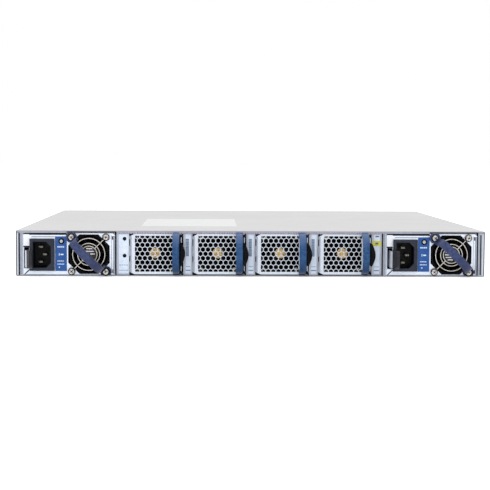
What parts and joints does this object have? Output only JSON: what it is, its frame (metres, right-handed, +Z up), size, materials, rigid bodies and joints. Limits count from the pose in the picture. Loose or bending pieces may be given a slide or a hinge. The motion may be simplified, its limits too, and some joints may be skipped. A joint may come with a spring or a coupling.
{
  "type": "rackmount network switch",
  "caption": "1U rackmount network switch with hot-swap fan modules and power supplies on one side and stacked transceiver ports on the other",
  "frame": {"origin": "middle of the bounding box, on the bottom face", "axes": "+X across the width, to the right when the fan and power supply side is faced; +Y from that side towards the port side; +Z up"},
  "size_m": [0.44, 0.44, 0.043],
  "materials": {
    "aluminium": "extruded",
    "black_plastic": "fine texture",
    "blue_plastic": "satin",
    "chip_package": "moulded",
    "circuit_board": "solder mask",
    "cover_paint": "satin powder coat",
    "galvanised_steel": "brushed, satin",
    "inlet_plastic": "fine texture",
    "panel_paint": "satin powder coat",
    "plated_wire": "nickel plated",
    "port_cage": "nickel plated"
  },
  "bodies": {
    "chassis": {"base_tray": "galvanised_steel", "top_cover": "cover_paint", "rear_frame": "galvanised_steel", "bay_divider_1": "galvanised_steel", "bay_divider_2": "galvanised_steel", "bay_divider_3": "galvanised_steel", "bay_divider_4": "galvanised_steel", "bay_divider_5": "galvanised_steel", "port_panel": "panel_paint", "main_board": "circuit_board", "switch_chip": "chip_package", "switch_heatsink": "aluminium", "processor_heatsink": "aluminium", "memory_module": "circuit_board", "port_cage_1": "port_cage", "port_cage_2": "port_cage", "small_port_cage": "port_cage", "network_jack": "port_cage", "usb_port": "port_cage"},
    "fan_module_1": {"fan_face_1": "galvanised_steel", "fan_tray_1": "galvanised_steel", "fan_handle_1": "blue_plastic", "fan_housing_1": "black_plastic"},
    "fan_latch_1": {"fan_latch_1": "black_plastic"},
    "fan_rotor_1": {"fan_rotor_1": "black_plastic"},
    "fan_module_2": {"fan_face_2": "galvanised_steel", "fan_tray_2": "galvanised_steel", "fan_handle_2": "blue_plastic", "fan_housing_2": "black_plastic"},
    "fan_latch_2": {"fan_latch_2": "black_plastic"},
    "fan_rotor_2": {"fan_rotor_2": "black_plastic"},
    "fan_module_3": {"fan_face_3": "galvanised_steel", "fan_tray_3": "galvanised_steel", "fan_handle_3": "blue_plastic", "fan_housing_3": "black_plastic"},
    "fan_latch_3": {"fan_latch_3": "black_plastic"},
    "fan_rotor_3": {"fan_rotor_3": "black_plastic"},
    "fan_module_4": {"fan_face_4": "galvanised_steel", "fan_tray_4": "galvanised_steel", "fan_handle_4": "blue_plastic", "fan_housing_4": "black_plastic"},
    "fan_latch_4": {"fan_latch_4": "black_plastic"},
    "fan_rotor_4": {"fan_rotor_4": "black_plastic"},
    "power_supply_1": {"psu_case_1": "galvanised_steel", "psu_inlet_1": "inlet_plastic", "psu_guard_1": "plated_wire", "psu_strap_1": "blue_plastic", "psu_fan_housing_1": "black_plastic", "psu_board_1": "circuit_board"},
    "psu_latch_1": {"psu_latch_1": "inlet_plastic"},
    "psu_fan_rotor_1": {"psu_fan_rotor_1": "black_plastic"},
    "power_supply_2": {"psu_case_2": "galvanised_steel", "psu_inlet_2": "inlet_plastic", "psu_guard_2": "plated_wire", "psu_strap_2": "blue_plastic", "psu_fan_housing_2": "black_plastic", "psu_board_2": "circuit_board"},
    "psu_latch_2": {"psu_latch_2": "inlet_plastic"},
    "psu_fan_rotor_2": {"psu_fan_rotor_2": "black_plastic"}
  },
  "joints": [
    {"name": "fan_module_slide_1", "type": "slide", "parent": "chassis", "child": "fan_module_1", "axis": [0, -1, 0], "range_m": [0, 0.08]},
    {"name": "fan_latch_press_1", "type": "hinge", "parent": "fan_module_1", "child": "fan_latch_1", "pos_m": [-0.06595, -0.165, 0.0209], "axis": [0, 0, -1], "range_deg": [0, 1.5], "stiffness_Nm_per_rad": 1.2},
    {"name": "fan_spin_1", "type": "hinge", "parent": "fan_module_1", "child": "fan_rotor_1", "pos_m": [-0.09065, -0.1742, 0.0211], "axis": [0, 1, 0], "continuous": true},
    {"name": "fan_module_slide_2", "type": "slide", "parent": "chassis", "child": "fan_module_2", "axis": [0, -1, 0], "range_m": [0, 0.08]},
    {"name": "fan_latch_press_2", "type": "hinge", "parent": "fan_module_2", "child": "fan_latch_2", "pos_m": [-0.00685, -0.165, 0.0209], "axis": [0, 0, -1], "range_deg": [0, 1.5], "stiffness_Nm_per_rad": 1.2},
    {"name": "fan_spin_2", "type": "hinge", "parent": "fan_module_2", "child": "fan_rotor_2", "pos_m": [-0.03155, -0.1742, 0.0211], "axis": [0, 1, 0], "continuous": true},
    {"name": "fan_module_slide_3", "type": "slide", "parent": "chassis", "child": "fan_module_3", "axis": [0, -1, 0], "range_m": [0, 0.08]},
    {"name": "fan_latch_press_3", "type": "hinge", "parent": "fan_module_3", "child": "fan_latch_3", "pos_m": [0.05225, -0.165, 0.0209], "axis": [0, 0, -1], "range_deg": [0, 1.5], "stiffness_Nm_per_rad": 1.2},
    {"name": "fan_spin_3", "type": "hinge", "parent": "fan_module_3", "child": "fan_rotor_3", "pos_m": [0.02755, -0.1742, 0.0211], "axis": [0, 1, 0], "continuous": true},
    {"name": "fan_module_slide_4", "type": "slide", "parent": "chassis", "child": "fan_module_4", "axis": [0, -1, 0], "range_m": [0, 0.08]},
    {"name": "fan_latch_press_4", "type": "hinge", "parent": "fan_module_4", "child": "fan_latch_4", "pos_m": [0.11135, -0.165, 0.0209], "axis": [0, 0, -1], "range_deg": [0, 1.5], "stiffness_Nm_per_rad": 1.2},
    {"name": "fan_spin_4", "type": "hinge", "parent": "fan_module_4", "child": "fan_rotor_4", "pos_m": [0.08665, -0.1742, 0.0211], "axis": [0, 1, 0], "continuous": true},
    {"name": "psu_slide_1", "type": "slide", "parent": "chassis", "child": "power_supply_1", "axis": [0, -1, 0], "range_m": [0, 0.21]},
    {"name": "psu_latch_press_1", "type": "hinge", "parent": "power_supply_1", "child": "psu_latch_1", "pos_m": [-0.2102, -0.161, 0.0168], "axis": [0, 0, 1], "range_deg": [0, 2.5], "stiffness_Nm_per_rad": 1.8},
    {"name": "psu_fan_spin_1", "type": "hinge", "parent": "power_supply_1", "child": "psu_fan_rotor_1", "pos_m": [-0.1522, -0.1829, 0.02075], "axis": [0, 1, 0], "continuous": true},
    {"name": "psu_slide_2", "type": "slide", "parent": "chassis", "child": "power_supply_2", "axis": [0, -1, 0], "range_m": [0, 0.21]},
    {"name": "psu_latch_press_2", "type": "hinge", "parent": "power_supply_2", "child": "psu_latch_2", "pos_m": [0.1304, -0.161, 0.0168], "axis": [0, 0, 1], "range_deg": [0, 2.5], "stiffness_Nm_per_rad": 1.8},
    {"name": "psu_fan_spin_2", "type": "hinge", "parent": "power_supply_2", "child": "psu_fan_rotor_2", "pos_m": [0.1884, -0.1829, 0.02075], "axis": [0, 1, 0], "continuous": true}
  ]
}
